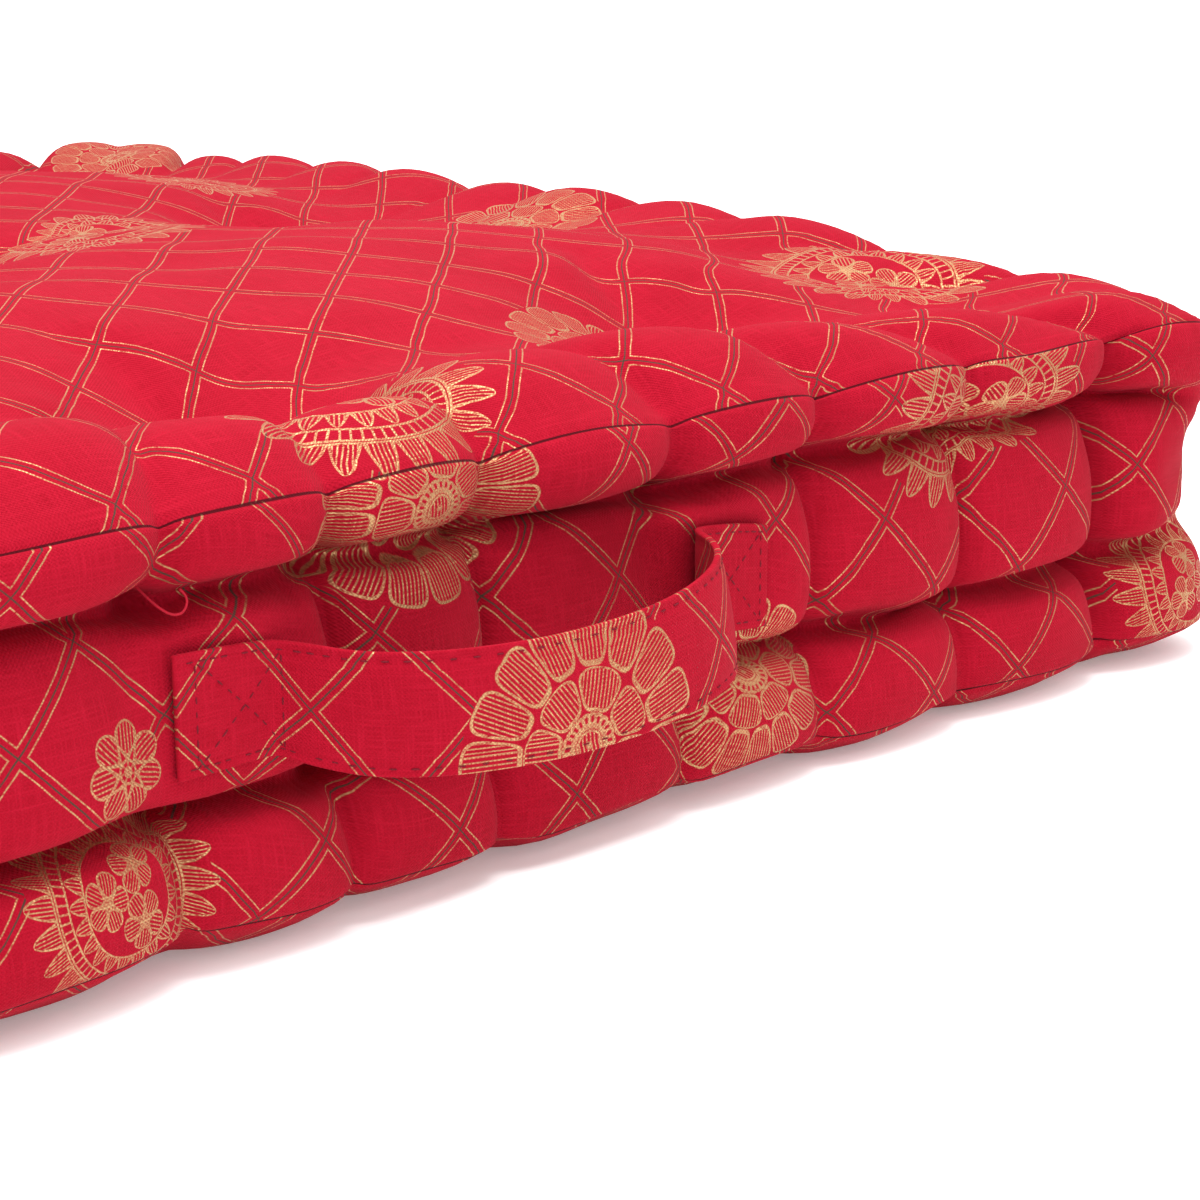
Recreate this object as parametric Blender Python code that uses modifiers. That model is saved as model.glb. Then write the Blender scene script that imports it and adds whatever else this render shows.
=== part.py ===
"""A square box cushion with rolled, hand-stitched edges, tufted faces and one cloth carrying handle.

It lies on its back on the plane z = 0. The side with the handle faces -Y, and the middle of the
overall width and depth, handle included, is the origin. All sizes are in metres.
"""

import math

import bmesh
import bpy
from mathutils import Matrix, Vector

# The cushion's size, from side to side
SIDE = 0.640
HALF = SIDE / 2
DRAW_IN = 0.008
CORNER_RADIUS = 0.024
CORNER_ZONE = 0.042

# Puffs of filling along each side, between the tucks that the edge stitches pull in
PUFFS = 11
CELLS_PER_PUFF = 4
CELLS = PUFFS * CELLS_PER_PUFF
TUCK_CROWDING = 0.60
PUFF_FULLNESS = 0.50
CORNER_FULLNESS = 0.50

# Where the ten tucks of each side are, along it, going round the cushion anticlockwise from above
TUCKS = {
    "front": (-0.268, -0.215, -0.160, -0.097, -0.047, 0.002, 0.070, 0.126, 0.190, 0.262),
    "right": (-0.262, -0.206, -0.146, -0.085, -0.030, 0.027, 0.088, 0.143, 0.205, 0.264),
    "back": (-0.265, -0.201, -0.147, -0.088, -0.027, 0.032, 0.086, 0.149, 0.203, 0.261),
    "left": (-0.263, -0.208, -0.143, -0.089, -0.031, 0.026, 0.084, 0.147, 0.199, 0.265),
}

# The boxing from the top seam down to the bottom seam. Each row gives its height and how far it
# stands out from the drawn-in side, in the middle of a puff, at a tuck and at a corner.
BOXING = (
    # name, height and out in puff, height and out at tuck, height and out at corner
    ("top seam", 0.1152, 0.0000, 0.1126, -0.0042, 0.1135, 0.0035),
    ("roll face", 0.1070, 0.0042, 0.1045, -0.0055, 0.1050, 0.0060),
    ("roll underside", 0.0985, 0.0016, 0.0970, -0.0120, 0.0965, 0.0058),
    ("upper stitches", 0.0925, -0.0085, 0.0920, -0.0220, 0.0885, 0.0036),
    ("band top", 0.0865, -0.0045, 0.0870, -0.0180, 0.0820, 0.0012),
    ("band upper", 0.0765, -0.0010, 0.0765, -0.0135, 0.0735, -0.0020),
    ("band middle", 0.0650, 0.0000, 0.0650, -0.0125, 0.0640, -0.0034),
    ("band lower", 0.0500, -0.0020, 0.0505, -0.0135, 0.0535, -0.0040),
    ("lower stitches", 0.0405, -0.0085, 0.0390, -0.0220, 0.0455, -0.0040),
    ("low roll top", 0.0345, -0.0010, 0.0330, -0.0130, 0.0350, 0.0020),
    ("low roll face", 0.0225, 0.0050, 0.0220, -0.0045, 0.0230, 0.0055),
    ("bottom seam", 0.0110, 0.0020, 0.0120, -0.0030, 0.0110, 0.0062),
)
ROWS = len(BOXING) - 1
BAND = ("band top", "band upper", "band middle", "band lower")

# The top face from the seam inwards: the roll, the valley behind it and the crown
TOP_FACE = (
    # distance in from the seam, height in puff, height at tuck
    (0.000, 0.1152, 0.1126),
    (0.015, 0.1292, 0.1236),
    (0.030, 0.1344, 0.1292),
    (0.045, 0.1334, 0.1292),
    (0.060, 0.1292, 0.1274),
    (0.075, 0.1270, 0.1260),
    (0.090, 0.1282, 0.1276),
    (0.120, 0.1342, 0.1342),
    (0.165, 0.1380, 0.1380),
    (0.320, 0.1392, 0.1392),
)
BACK_FULLNESS = 0.003

# Beside a corner the tucks are deeper, and the top comes down towards it, at the back less so
CORNER_PULL = 0.9
CORNER_PULL_START = 0.200
CORNER_PULL_REACH = 0.060
CORNER_DROP = 0.0155
CORNER_DROP_START = 0.075
CORNER_DROP_REACH = 0.120
BACK_CORNER_SHARE = 0.25

# The underside from the seam inwards: it lies flat on the surface a little way in
UNDERSIDE = (
    # distance in from the seam, height in puff, height at tuck
    (0.000, 0.0110, 0.0120),
    (0.015, 0.0010, 0.0035),
    (0.030, 0.0000, 0.0012),
    (0.045, 0.0000, 0.0000),
    (0.320, 0.0000, 0.0000),
)

# The nine tufts, drawn through from face to face, each a little off an even grid
TUFTS = (
    # x, y, depth from the top
    (0.150, -0.232, 0.022),
    (-0.030, -0.240, 0.021),
    (-0.215, -0.230, 0.022),
    (0.180, 0.004, 0.031),
    (-0.010, -0.006, 0.032),
    (-0.200, 0.003, 0.031),
    (0.195, 0.215, 0.027),
    (-0.006, 0.222, 0.026),
    (-0.200, 0.218, 0.027),
)
TUFT_REACH = 0.040
TUFT_REACH_BELOW = 0.026
FLOOR_PRESS = 0.007
RIM_SHIFT_REACH = 0.045
WARP_START = 0.35

# The handle: a strap of folded cloth. Its sewn ends hold the band out flat, set back a little from
# the side's plane, and it bows out between them. The outs are from that flat to the strap's middle.
STRAP_THICKNESS = 0.0024
STRAP_CURL = 0.0012
CURL_START = 0.0020
CURL_FULL = 0.0200
PATCH_SET_BACK = 0.0085
PATCH_ZONE = (0.068, 0.104)
PATCH_FADE = 0.006
STRAP_PATH = (
    # along the side, upper edge's out and height, lower edge's out and height
    (-0.0985, 0.0019, 0.0824, 0.0019, 0.0515),
    (-0.0885, 0.0019, 0.0820, 0.0019, 0.0516),
    (-0.0785, 0.0019, 0.0814, 0.0019, 0.0518),
    (-0.0700, 0.0020, 0.0805, 0.0024, 0.0516),
    (-0.0640, 0.0070, 0.0795, 0.0095, 0.0492),
    (-0.0540, 0.0165, 0.0775, 0.0190, 0.0466),
    (-0.0390, 0.0258, 0.0766, 0.0288, 0.0457),
    (-0.0200, 0.0320, 0.0762, 0.0355, 0.0454),
    (-0.0020, 0.0345, 0.0762, 0.0385, 0.0455),
    (0.0180, 0.0355, 0.0772, 0.0400, 0.0464),
    (0.0360, 0.0335, 0.0788, 0.0390, 0.0480),
    (0.0510, 0.0285, 0.0806, 0.0350, 0.0497),
    (0.0615, 0.0215, 0.0820, 0.0285, 0.0508),
    (0.0680, 0.0130, 0.0828, 0.0190, 0.0515),
    (0.0715, 0.0055, 0.0830, 0.0085, 0.0517),
    (0.0750, 0.0019, 0.0830, 0.0019, 0.0516),
    (0.0845, 0.0019, 0.0822, 0.0019, 0.0508),
    (0.0940, 0.0019, 0.0808, 0.0019, 0.0499),
    (0.1020, 0.0019, 0.0792, 0.0019, 0.0493),
)
STRAP_CELLS_ACROSS = 4

# Colours as the cloth shows them
CLOTH_RED = (0.62, 0.012, 0.045, 1.0)
CLOTH_ROUGHNESS = 0.85


def clear_scene():
    for thing in list(bpy.data.objects):
        bpy.data.objects.remove(thing, do_unlink=True)


def cloth_material(name):
    material = bpy.data.materials.new(name)
    material.use_nodes = True
    shader = material.node_tree.nodes["Principled BSDF"]
    shader.inputs["Base Color"].default_value = CLOTH_RED
    shader.inputs["Roughness"].default_value = CLOTH_ROUGHNESS
    shader.inputs["Metallic"].default_value = 0.0
    return material


def smooth(value):
    """0 below 0, 1 above 1 and an even S between."""
    value = min(1.0, max(0.0, value))
    return value * value * (3 - 2 * value)


def read_table(table, distance):
    """The two heights of a face at a distance in from the seam, between the table's rows."""
    for low, high in zip(table, table[1:]):
        if distance <= high[0]:
            share = (distance - low[0]) / (high[0] - low[0])
            return tuple(a + (b - a) * share for a, b in zip(low[1:], high[1:]))
    return table[-1][1:]


def column_place(side, across):
    """A column of the grid: its place along its side, how far a tuck draws it in, how near a corner."""
    knots = (-HALF, *TUCKS[side], HALF)
    place = (across + 1) / 2 * PUFFS
    puff = min(PUFFS - 1, int(place + 1e-6))
    share = place - puff
    share += TUCK_CROWDING * ((1 - math.cos(math.pi * share)) / 2 - share)
    along = knots[puff] + (knots[puff + 1] - knots[puff]) * share
    wave = math.sin(math.pi * share)
    if puff == 0:
        wave += CORNER_FULLNESS * math.cos(math.pi / 2 * share)
    if puff == PUFFS - 1:
        wave += CORNER_FULLNESS * math.sin(math.pi / 2 * share)
    drawn = 1 - min(1.0, max(0.0, wave)) ** PUFF_FULLNESS
    beside_corner = smooth((abs(along) - CORNER_PULL_START) / CORNER_PULL_REACH)
    corner = smooth(1 - (HALF - abs(along)) / CORNER_ZONE)
    return along, drawn * (1 + CORNER_PULL * beside_corner), corner


def rim_point(along):
    """The plan of one side with its rounded corners, as along, outwards and the outward direction."""
    sign = -1.0 if along < 0 else 1.0
    gap = HALF - abs(along)
    drawn = DRAW_IN * smooth(gap / HALF)
    straight = CORNER_ZONE - CORNER_RADIUS
    start = HALF - CORNER_ZONE
    travel = (1 - gap / CORNER_ZONE) * (straight + CORNER_RADIUS * math.pi / 4)
    if travel <= 0:
        return along, HALF - drawn, 0.0, 1.0
    if travel <= straight:
        return sign * (start + travel), HALF - drawn, 0.0, 1.0
    turn = (travel - straight) / CORNER_RADIUS
    centre = HALF - CORNER_RADIUS
    x = centre + CORNER_RADIUS * math.sin(turn)
    y = centre + CORNER_RADIUS * math.cos(turn) - drawn
    return sign * x, y, sign * math.sin(turn), math.cos(turn)


def turn_to_side(side, along, outwards):
    """A point in a side's own plan, turned to where that side is."""
    return {
        "front": (along, -outwards),
        "right": (outwards, along),
        "back": (-along, outwards),
        "left": (-outwards, -along),
    }[side]


def which_side(x, y):
    """The side that a point of the square faces, its place across that side and its ring, 0 to 1."""
    ring = max(abs(x), abs(y))
    if ring == 0:
        return "front", 0.0, 0.0
    if -y == ring:
        return "front", x / ring, ring
    if x == ring:
        return "right", y / ring, ring
    if y == ring:
        return "back", -x / ring, ring
    return "left", -y / ring, ring


def patch_hold(side, along):
    """How firmly the strap's sewn ends hold the front band out flat."""
    if side != "front":
        return 0.0
    near, far = PATCH_ZONE
    rise = smooth((abs(along) - near + PATCH_FADE) / PATCH_FADE)
    fall = 1 - smooth((abs(along) - far) / PATCH_FADE)
    return min(rise, fall)


def boxing_profile(side, across, row):
    """How far out and how high the boxing stands at a column and a row."""
    _, drawn, corner = column_place(side, across)
    _, height, out, tuck_height, tuck_out, corner_height, corner_out = BOXING[row]
    height += (tuck_height - height) * drawn
    out += (tuck_out - out) * drawn
    return out + (corner_out - out) * corner, height + (corner_height - height) * corner


def boxing_point(side, across, row):
    along = column_place(side, across)[0]
    out, height = boxing_profile(side, across, row)
    x, y, toward_x, toward_y = rim_point(along)
    if BOXING[row][0] in BAND:
        out += (HALF - PATCH_SET_BACK - y - out) * patch_hold(side, along)
    plan = turn_to_side(side, x + toward_x * out, y + toward_y * out)
    return Vector((*plan, height))


def tuft_dip(x, y, reach):
    """How far the tufts draw a face in at a point."""
    return sum(
        depth * math.exp(-math.hypot(x - tuft_x, y - tuft_y) / reach)
        for tuft_x, tuft_y, depth in TUFTS
    )


def face_point(x, y, top):
    """A point inside the edge of the top face, or of the underside."""
    side, across, ring = which_side(x, y)
    along, drawn, _ = column_place(side, across)
    distance = (1 - ring) * HALF
    rim_x, rim_y, toward_x, toward_y = rim_point(along)
    seam_out, seam_height = boxing_profile(side, across, 0 if top else ROWS)
    fade = smooth((ring - WARP_START) / (1 - WARP_START))
    near_seam = max(0.0, 1 - distance / RIM_SHIFT_REACH)
    shift_along = (rim_x - across * HALF) * fade + toward_x * seam_out * near_seam
    shift_out = (rim_y - HALF) * fade + toward_y * seam_out * near_seam
    moved = turn_to_side(side, shift_along, shift_out)
    plan_x, plan_y = x * HALF + moved[0], y * HALF + moved[1]
    table = TOP_FACE if top else UNDERSIDE
    puff_height, tuck_height = read_table(table, distance)
    height = puff_height + (tuck_height - puff_height) * drawn
    height += (seam_height - table[0][1] - (table[0][2] - table[0][1]) * drawn) * near_seam
    inside = smooth(distance / RIM_SHIFT_REACH)
    if top:
        front = (HALF - plan_y) / SIDE
        to_corner = math.hypot(HALF - abs(plan_x), HALF - abs(plan_y))
        drop = CORNER_DROP * (1 - smooth((to_corner - CORNER_DROP_START) / CORNER_DROP_REACH))
        drop *= BACK_CORNER_SHARE + (1 - BACK_CORNER_SHARE) * front
        fuller = BACK_FULLNESS * (1 - front)
        height += (fuller - drop - tuft_dip(plan_x, plan_y, TUFT_REACH)) * inside
    else:
        height += max(0.0, tuft_dip(plan_x, plan_y, TUFT_REACH_BELOW) - FLOOR_PRESS) * inside
    return Vector((plan_x, plan_y, max(0.0, height)))


def cut_along(mesh, axis, cells):
    """Divides every edge that runs along an axis into a number of cells."""
    edges = [e for e in mesh.edges if abs((e.verts[1].co - e.verts[0].co)[axis]) > 1e-6]
    bmesh.ops.subdivide_edges(mesh, edges=edges, cuts=cells - 1, use_grid_fill=True)


def make_cushion(collection):
    """The filled cushion: a block divided into the grid of puffs, then moved to its sewn shape."""
    block = bmesh.new()
    bmesh.ops.create_cube(block, size=2.0)
    cut_along(block, 0, CELLS)
    cut_along(block, 1, CELLS)
    cut_along(block, 2, ROWS)
    for vertex in block.verts:
        x, y, z = (round(value, 5) for value in vertex.co)
        if max(abs(x), abs(y)) > 0.9999:
            side, across, _ = which_side(x, y)
            vertex.co = boxing_point(side, across, round((1 - z) / 2 * ROWS))
        else:
            vertex.co = face_point(x, y, z > 0)
    mesh = bpy.data.meshes.new("cushion")
    block.to_mesh(mesh)
    block.free()
    mesh.shade_smooth()
    mesh.materials.append(cloth_material("red cotton"))
    cushion = bpy.data.objects.new("cushion", mesh)
    collection.objects.link(cushion)
    return cushion


def make_handle(collection):
    """The carrying strap: a ribbon lofted between its two edges, then given its thickness."""
    steps = len(STRAP_PATH) - 1
    ribbon = bmesh.new()
    bmesh.ops.create_grid(ribbon, x_segments=steps, y_segments=STRAP_CELLS_ACROSS, size=1.0)
    for vertex in ribbon.verts:
        place = STRAP_PATH[round((vertex.co.x + 1) / 2 * steps)]
        share = (1 - vertex.co.y) / 2
        along, upper_out, upper_height, lower_out, lower_height = place
        out = upper_out + (lower_out - upper_out) * share
        free = smooth((out - CURL_START) / (CURL_FULL - CURL_START))
        out += STRAP_CURL * free * (1 - (2 * share - 1) ** 2)
        height = upper_height + (lower_height - upper_height) * share
        vertex.co = Vector((along, -(HALF - PATCH_SET_BACK + out), height))
    bmesh.ops.recalc_face_normals(ribbon, faces=ribbon.faces)
    mesh = bpy.data.meshes.new("handle")
    ribbon.to_mesh(mesh)
    ribbon.free()
    mesh.shade_smooth()
    mesh.set_sharp_from_angle(angle=math.radians(50))
    mesh.materials.append(cloth_material("red cotton strap"))
    handle = bpy.data.objects.new("handle", mesh)
    collection.objects.link(handle)
    wall = handle.modifiers.new("strap thickness", "SOLIDIFY")
    wall.thickness = STRAP_THICKNESS
    wall.offset = 0.0
    return handle


def centre_over_origin(parts):
    """Moves the parts together, so that the middle of their overall width and depth is the origin."""
    graph = bpy.context.evaluated_depsgraph_get()
    corners = [Vector(corner) for part in parts for corner in part.evaluated_get(graph).bound_box]
    middle = [(min(c[axis] for c in corners) + max(c[axis] for c in corners)) / 2 for axis in (0, 1)]
    for part in parts:
        part.data.transform(Matrix.Translation((-middle[0], -middle[1], 0.0)))


def main():
    clear_scene()
    collection = bpy.data.collections.new("box cushion")
    bpy.context.scene.collection.children.link(collection)
    centre_over_origin([make_cushion(collection), make_handle(collection)])


main()
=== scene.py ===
import math
import random

import bmesh
import bpy
import numpy as np
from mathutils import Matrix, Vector, noise


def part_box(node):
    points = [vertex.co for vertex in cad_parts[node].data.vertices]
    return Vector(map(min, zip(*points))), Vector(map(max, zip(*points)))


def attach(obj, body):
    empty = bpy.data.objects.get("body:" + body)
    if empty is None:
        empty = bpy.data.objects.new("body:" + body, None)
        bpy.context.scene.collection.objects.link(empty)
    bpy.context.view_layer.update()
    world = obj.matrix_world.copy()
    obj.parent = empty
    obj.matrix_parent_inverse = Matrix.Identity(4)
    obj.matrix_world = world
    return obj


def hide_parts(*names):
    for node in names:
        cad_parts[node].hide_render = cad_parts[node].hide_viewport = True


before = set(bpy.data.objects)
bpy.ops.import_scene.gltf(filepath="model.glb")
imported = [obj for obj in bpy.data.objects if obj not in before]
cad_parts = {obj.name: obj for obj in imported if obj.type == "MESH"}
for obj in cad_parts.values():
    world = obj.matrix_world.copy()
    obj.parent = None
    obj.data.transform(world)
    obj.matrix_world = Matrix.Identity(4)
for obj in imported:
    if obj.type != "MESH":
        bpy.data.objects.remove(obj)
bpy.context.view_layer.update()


# The camera, the floor and the light
# A near view from the left of the handle, looking down a little along the side to its far corner.
# The floor and the room are plain white, under one big soft light from above and one from the front.
cushion_low, cushion_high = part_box("cushion")
CENTRE_Y = (cushion_low.y + cushion_high.y) / 2
CAMERA_PLACE = Vector((-0.4160, -0.7893 + CENTRE_Y, 0.2537))
CAMERA_HEADING = math.radians(-43.6)
CAMERA_PITCH = math.radians(15.66)
CAMERA_LENS = 77.04
CAMERA_FILM = 36.0

camera_data = bpy.data.cameras.new("camera")
camera_data.lens = CAMERA_LENS
camera_data.sensor_width = CAMERA_FILM
camera_data.clip_start = 0.01
camera = bpy.data.objects.new("camera", camera_data)
camera.location = CAMERA_PLACE
camera.rotation_euler = (math.pi / 2 - CAMERA_PITCH, 0.0, CAMERA_HEADING)
bpy.context.scene.collection.objects.link(camera)
bpy.context.scene.camera = camera

# The room is brighter overhead than it is near the floor
SKY_BRIGHT = 2.15
HORIZON_BRIGHT = 0.30
world = bpy.data.worlds.new("studio")
world.use_nodes = True
sky = world.node_tree
sky_direction = sky.nodes.new("ShaderNodeTexCoord")
sky_height = sky.nodes.new("ShaderNodeSeparateXYZ")
sky_strength = sky.nodes.new("ShaderNodeMapRange")
sky_strength.inputs["To Min"].default_value = HORIZON_BRIGHT
sky_strength.inputs["To Max"].default_value = SKY_BRIGHT
sky.nodes["Background"].inputs["Color"].default_value = (1.0, 1.0, 1.0, 1.0)
sky.links.new(sky_direction.outputs["Generated"], sky_height.inputs["Vector"])
sky.links.new(sky_height.outputs["Z"], sky_strength.inputs["Value"])
sky.links.new(sky_strength.outputs["Result"], sky.nodes["Background"].inputs["Strength"])
bpy.context.scene.world = world
bpy.context.scene.view_settings.view_transform = "Standard"


def soft_light(name, place, target, width, power):
    data = bpy.data.lights.new(name, "AREA")
    data.shape = "SQUARE"
    data.size = width
    data.energy = power
    light = bpy.data.objects.new(name, data)
    light.location = place
    light.rotation_euler = (Vector(target) - Vector(place)).to_track_quat("-Z", "Y").to_euler()
    bpy.context.scene.collection.objects.link(light)


soft_light("overhead light", (-0.1, -0.3, 1.7), (0.0, -0.1, 0.1), 1.0, 26.0)
soft_light("front light", (-0.7, -1.5, 0.9), (0.0, -0.2, 0.05), 1.0, 2.0)

FLOOR_SIZE = 12.0
floor_mesh = bpy.data.meshes.new("floor")
floor_cage = bmesh.new()
bmesh.ops.create_grid(floor_cage, x_segments=1, y_segments=1, size=FLOOR_SIZE / 2)
floor_cage.to_mesh(floor_mesh)
floor_cage.free()
floor = bpy.data.objects.new("floor", floor_mesh)
floor_material = bpy.data.materials.new("pale floor")
floor_material.use_nodes = True
floor_shader = floor_material.node_tree.nodes["Principled BSDF"]
floor_shader.inputs["Base Color"].default_value = (0.93, 0.93, 0.93, 1.0)
floor_shader.inputs["Roughness"].default_value = 0.9
floor_shader.inputs["Emission Color"].default_value = (1.0, 1.0, 1.0, 1.0)
floor_shader.inputs["Emission Strength"].default_value = 0.22
floor_mesh.materials.append(floor_material)
bpy.context.scene.collection.objects.link(floor)


# The filled cushion
# A top panel, a bottom panel and a boxing strip of red cotton, seamed together and filled with loose
# cotton. Strong thread drawn through it by hand makes the tufts, the rolled edges and the tucks
# between its puffs.

# Half a side from corner to corner, how far its middle is drawn in, and the rounding of its corners
HALF = 0.320
DRAW_IN = 0.008
CORNER_RADIUS = 0.024
CORNER_ZONE = 0.042

# The puffs of a side, how closely the grid crowds towards a tuck, and how square a puff swells
PUFFS = 11
CELLS_PER_PUFF = 8
CELLS = PUFFS * CELLS_PER_PUFF
TUCK_CROWDING = 0.75
PUFF_FULLNESS = 0.33
CORNER_FULLNESS = 0.50

# Where the tucks stand along each side, measured from its middle
TUCKS = {
    "front": (-0.268, -0.215, -0.160, -0.097, -0.047, 0.002, 0.070, 0.126, 0.190, 0.262),
    "right": (-0.262, -0.206, -0.146, -0.085, -0.030, 0.027, 0.088, 0.143, 0.205, 0.264),
    "back": (-0.265, -0.201, -0.147, -0.088, -0.027, 0.032, 0.086, 0.149, 0.203, 0.261),
    "left": (-0.263, -0.208, -0.143, -0.089, -0.031, 0.026, 0.084, 0.147, 0.199, 0.265),
}

# The boxing from the top seam down. Outs are from the side's drawn-in plane.
BOXING = np.array((
    # height and out in a puff, height and out at a tuck, height and out at a corner
    (0.1152, 0.0000, 0.1118, -0.0064, 0.1135, 0.0035),
    (0.1062, 0.0034, 0.1040, -0.0078, 0.1050, 0.0060),
    (0.0978, -0.0012, 0.0965, -0.0145, 0.0960, 0.0058),
    (0.0925, -0.0145, 0.0920, -0.0260, 0.0885, 0.0030),
    (0.0880, -0.0050, 0.0874, -0.0175, 0.0820, 0.0012),
    (0.0765, -0.0006, 0.0765, -0.0135, 0.0735, -0.0020),
    (0.0650, 0.0016, 0.0650, -0.0120, 0.0640, -0.0034),
    (0.0474, 0.0016, 0.0475, -0.0130, 0.0535, -0.0040),
    (0.0412, -0.0128, 0.0400, -0.0250, 0.0455, -0.0046),
    (0.0362, 0.0012, 0.0350, -0.0125, 0.0350, 0.0020),
    (0.0225, 0.0050, 0.0220, -0.0045, 0.0230, 0.0055),
    (0.0110, 0.0020, 0.0120, -0.0030, 0.0110, 0.0062),
))
LAST_ROW = len(BOXING) - 1

# The stitched grooves, the band between them and the rows beside a seam, counted in the table's rows
UPPER_STITCHES = 3.0
LOWER_STITCHES = 8.0
BAND_ROWS = (3.7, 7.4)
SEAM_ROWS = (0.0, 0.13, 0.40)
ROW_STEP = 0.33

# The top face from the seam inwards, and the underside, which lies flat a little way in
TOP_FACE = np.array((
    # distance in, height in puff, height at tuck
    (0.000, 0.1152, 0.1118),
    (0.015, 0.1282, 0.1198),
    (0.030, 0.1332, 0.1244),
    (0.045, 0.1318, 0.1254),
    (0.060, 0.1274, 0.1246),
    (0.075, 0.1250, 0.1238),
    (0.090, 0.1262, 0.1254),
    (0.120, 0.1325, 0.1325),
    (0.165, 0.1365, 0.1365),
    (0.320, 0.1375, 0.1375),
))
UNDERSIDE = np.array((
    # distance in, height in puff, height at tuck
    (0.000, 0.0110, 0.0120),
    (0.015, 0.0010, 0.0035),
    (0.030, 0.0000, 0.0012),
    (0.045, 0.0000, 0.0000),
    (0.320, 0.0000, 0.0000),
))

# The back is a little fuller, and tucks pull harder and the top drops towards the corners
BACK_FULLNESS = 0.003
CORNER_PULL = 0.9
CORNER_PULL_START = 0.200
CORNER_PULL_REACH = 0.060
CORNER_DROP = 0.0155
CORNER_DROP_START = 0.075
CORNER_DROP_REACH = 0.120
BACK_CORNER_SHARE = 0.25

# The tufts, drawn through from the top to the underside, which the floor presses flat between them
TUFTS = (
    # x, y, depth from the top
    (0.150, -0.232, 0.024),
    (-0.030, -0.240, 0.023),
    (-0.215, -0.230, 0.024),
    (0.180, 0.004, 0.034),
    (-0.010, -0.006, 0.035),
    (-0.200, 0.003, 0.034),
    (0.195, 0.215, 0.030),
    (-0.006, 0.222, 0.029),
    (-0.200, 0.218, 0.030),
)
TUFT_REACH = 0.040
TUFT_REACH_BELOW = 0.026
FLOOR_PRESS = 0.007

# How far in from the rim its shape is felt, and the fold of cloth beside each seam
RIM_SHIFT_REACH = 0.045
WARP_START = 0.35
SEAM_SINK = 0.0011
SEAM_RINGS = (0.0, 0.0014, 0.0042)

# Where the handle's sewn ends hold the band out flat
PATCH_SET_BACK = 0.0085
PATCH_ZONE = (0.068, 0.104)
PATCH_FADE = 0.006


def smooth(value):
    """0 below 0, 1 above 1 and an even S between."""
    value = min(1.0, max(0.0, value))
    return value * value * (3 - 2 * value)


def curve_between(rows, place):
    """A row of values on a smooth curve through a table's rows, at a place counted in rows."""
    last = len(rows) - 1
    low = min(last - 1, max(0, int(place)))
    share = place - low
    before, start, end, after = (rows[min(last, max(0, low + step))] for step in (-1, 0, 1, 2))
    bend = 2 * before - 5 * start + 4 * end - after
    twist = 3 * (start - end) + after - before
    return start + 0.5 * share * (end - before + share * (bend + share * twist))


def face_heights(table, distance):
    """The height in a puff and at a tuck, at a distance in from the seam."""
    row = int(np.searchsorted(table[:, 0], distance, side="right")) - 1
    row = min(len(table) - 2, max(0, row))
    share = (distance - table[row, 0]) / (table[row + 1, 0] - table[row, 0])
    return curve_between(table[:, 1:], row + share)


def column_place(side, across):
    """A column of the grid: its place along its side, how far a tuck draws it in, how near a corner."""
    knots = (-HALF, *TUCKS[side], HALF)
    place = (across + 1) / 2 * PUFFS
    puff = min(PUFFS - 1, int(place + 1e-6))
    share = place - puff
    share += TUCK_CROWDING * ((1 - math.cos(math.pi * share)) / 2 - share)
    along = knots[puff] + (knots[puff + 1] - knots[puff]) * share
    wave = math.sin(math.pi * share)
    if puff == 0:
        wave += CORNER_FULLNESS * math.cos(math.pi / 2 * share)
    if puff == PUFFS - 1:
        wave += CORNER_FULLNESS * math.sin(math.pi / 2 * share)
    drawn = 1 - min(1.0, max(0.0, wave)) ** PUFF_FULLNESS
    beside_corner = smooth((abs(along) - CORNER_PULL_START) / CORNER_PULL_REACH)
    corner = smooth(1 - (HALF - abs(along)) / CORNER_ZONE)
    return along, drawn * (1 + CORNER_PULL * beside_corner), corner


def rim_point(along):
    """The plan of one side with its rounded corners, as along, outwards and the outward direction."""
    sign = -1.0 if along < 0 else 1.0
    gap = HALF - abs(along)
    drawn = DRAW_IN * smooth(gap / HALF)
    straight = CORNER_ZONE - CORNER_RADIUS
    start = HALF - CORNER_ZONE
    travel = (1 - gap / CORNER_ZONE) * (straight + CORNER_RADIUS * math.pi / 4)
    if travel <= 0:
        return along, HALF - drawn, 0.0, 1.0
    if travel <= straight:
        return sign * (start + travel), HALF - drawn, 0.0, 1.0
    turn = (travel - straight) / CORNER_RADIUS
    centre = HALF - CORNER_RADIUS
    x = centre + CORNER_RADIUS * math.sin(turn)
    y = centre + CORNER_RADIUS * math.cos(turn) - drawn
    return sign * x, y, sign * math.sin(turn), math.cos(turn)


def turn_to_side(side, along, outwards):
    """A point in a side's own plan, turned to where that side is."""
    return {
        "front": (along, -outwards),
        "right": (outwards, along),
        "back": (-along, outwards),
        "left": (-outwards, -along),
    }[side]


def place_across(side, x, y):
    """How far across a side a point of the block is, from -1 to 1."""
    return {"front": x, "right": y, "back": -x, "left": -y}[side]


def which_side(x, y):
    """The side that a point of the block faces, and its ring, from 0 in the middle to 1 at the rim."""
    ring = max(abs(x), abs(y))
    if -y == ring:
        return "front", ring
    if x == ring:
        return "right", ring
    if y == ring:
        return "back", ring
    return "left", ring


def patch_hold(side, along):
    """How firmly the handle's sewn ends hold the front band out flat."""
    if side != "front":
        return 0.0
    near, far = PATCH_ZONE
    rise = smooth((abs(along) - near + PATCH_FADE) / PATCH_FADE)
    fall = 1 - smooth((abs(along) - far) / PATCH_FADE)
    return min(rise, fall)


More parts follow.
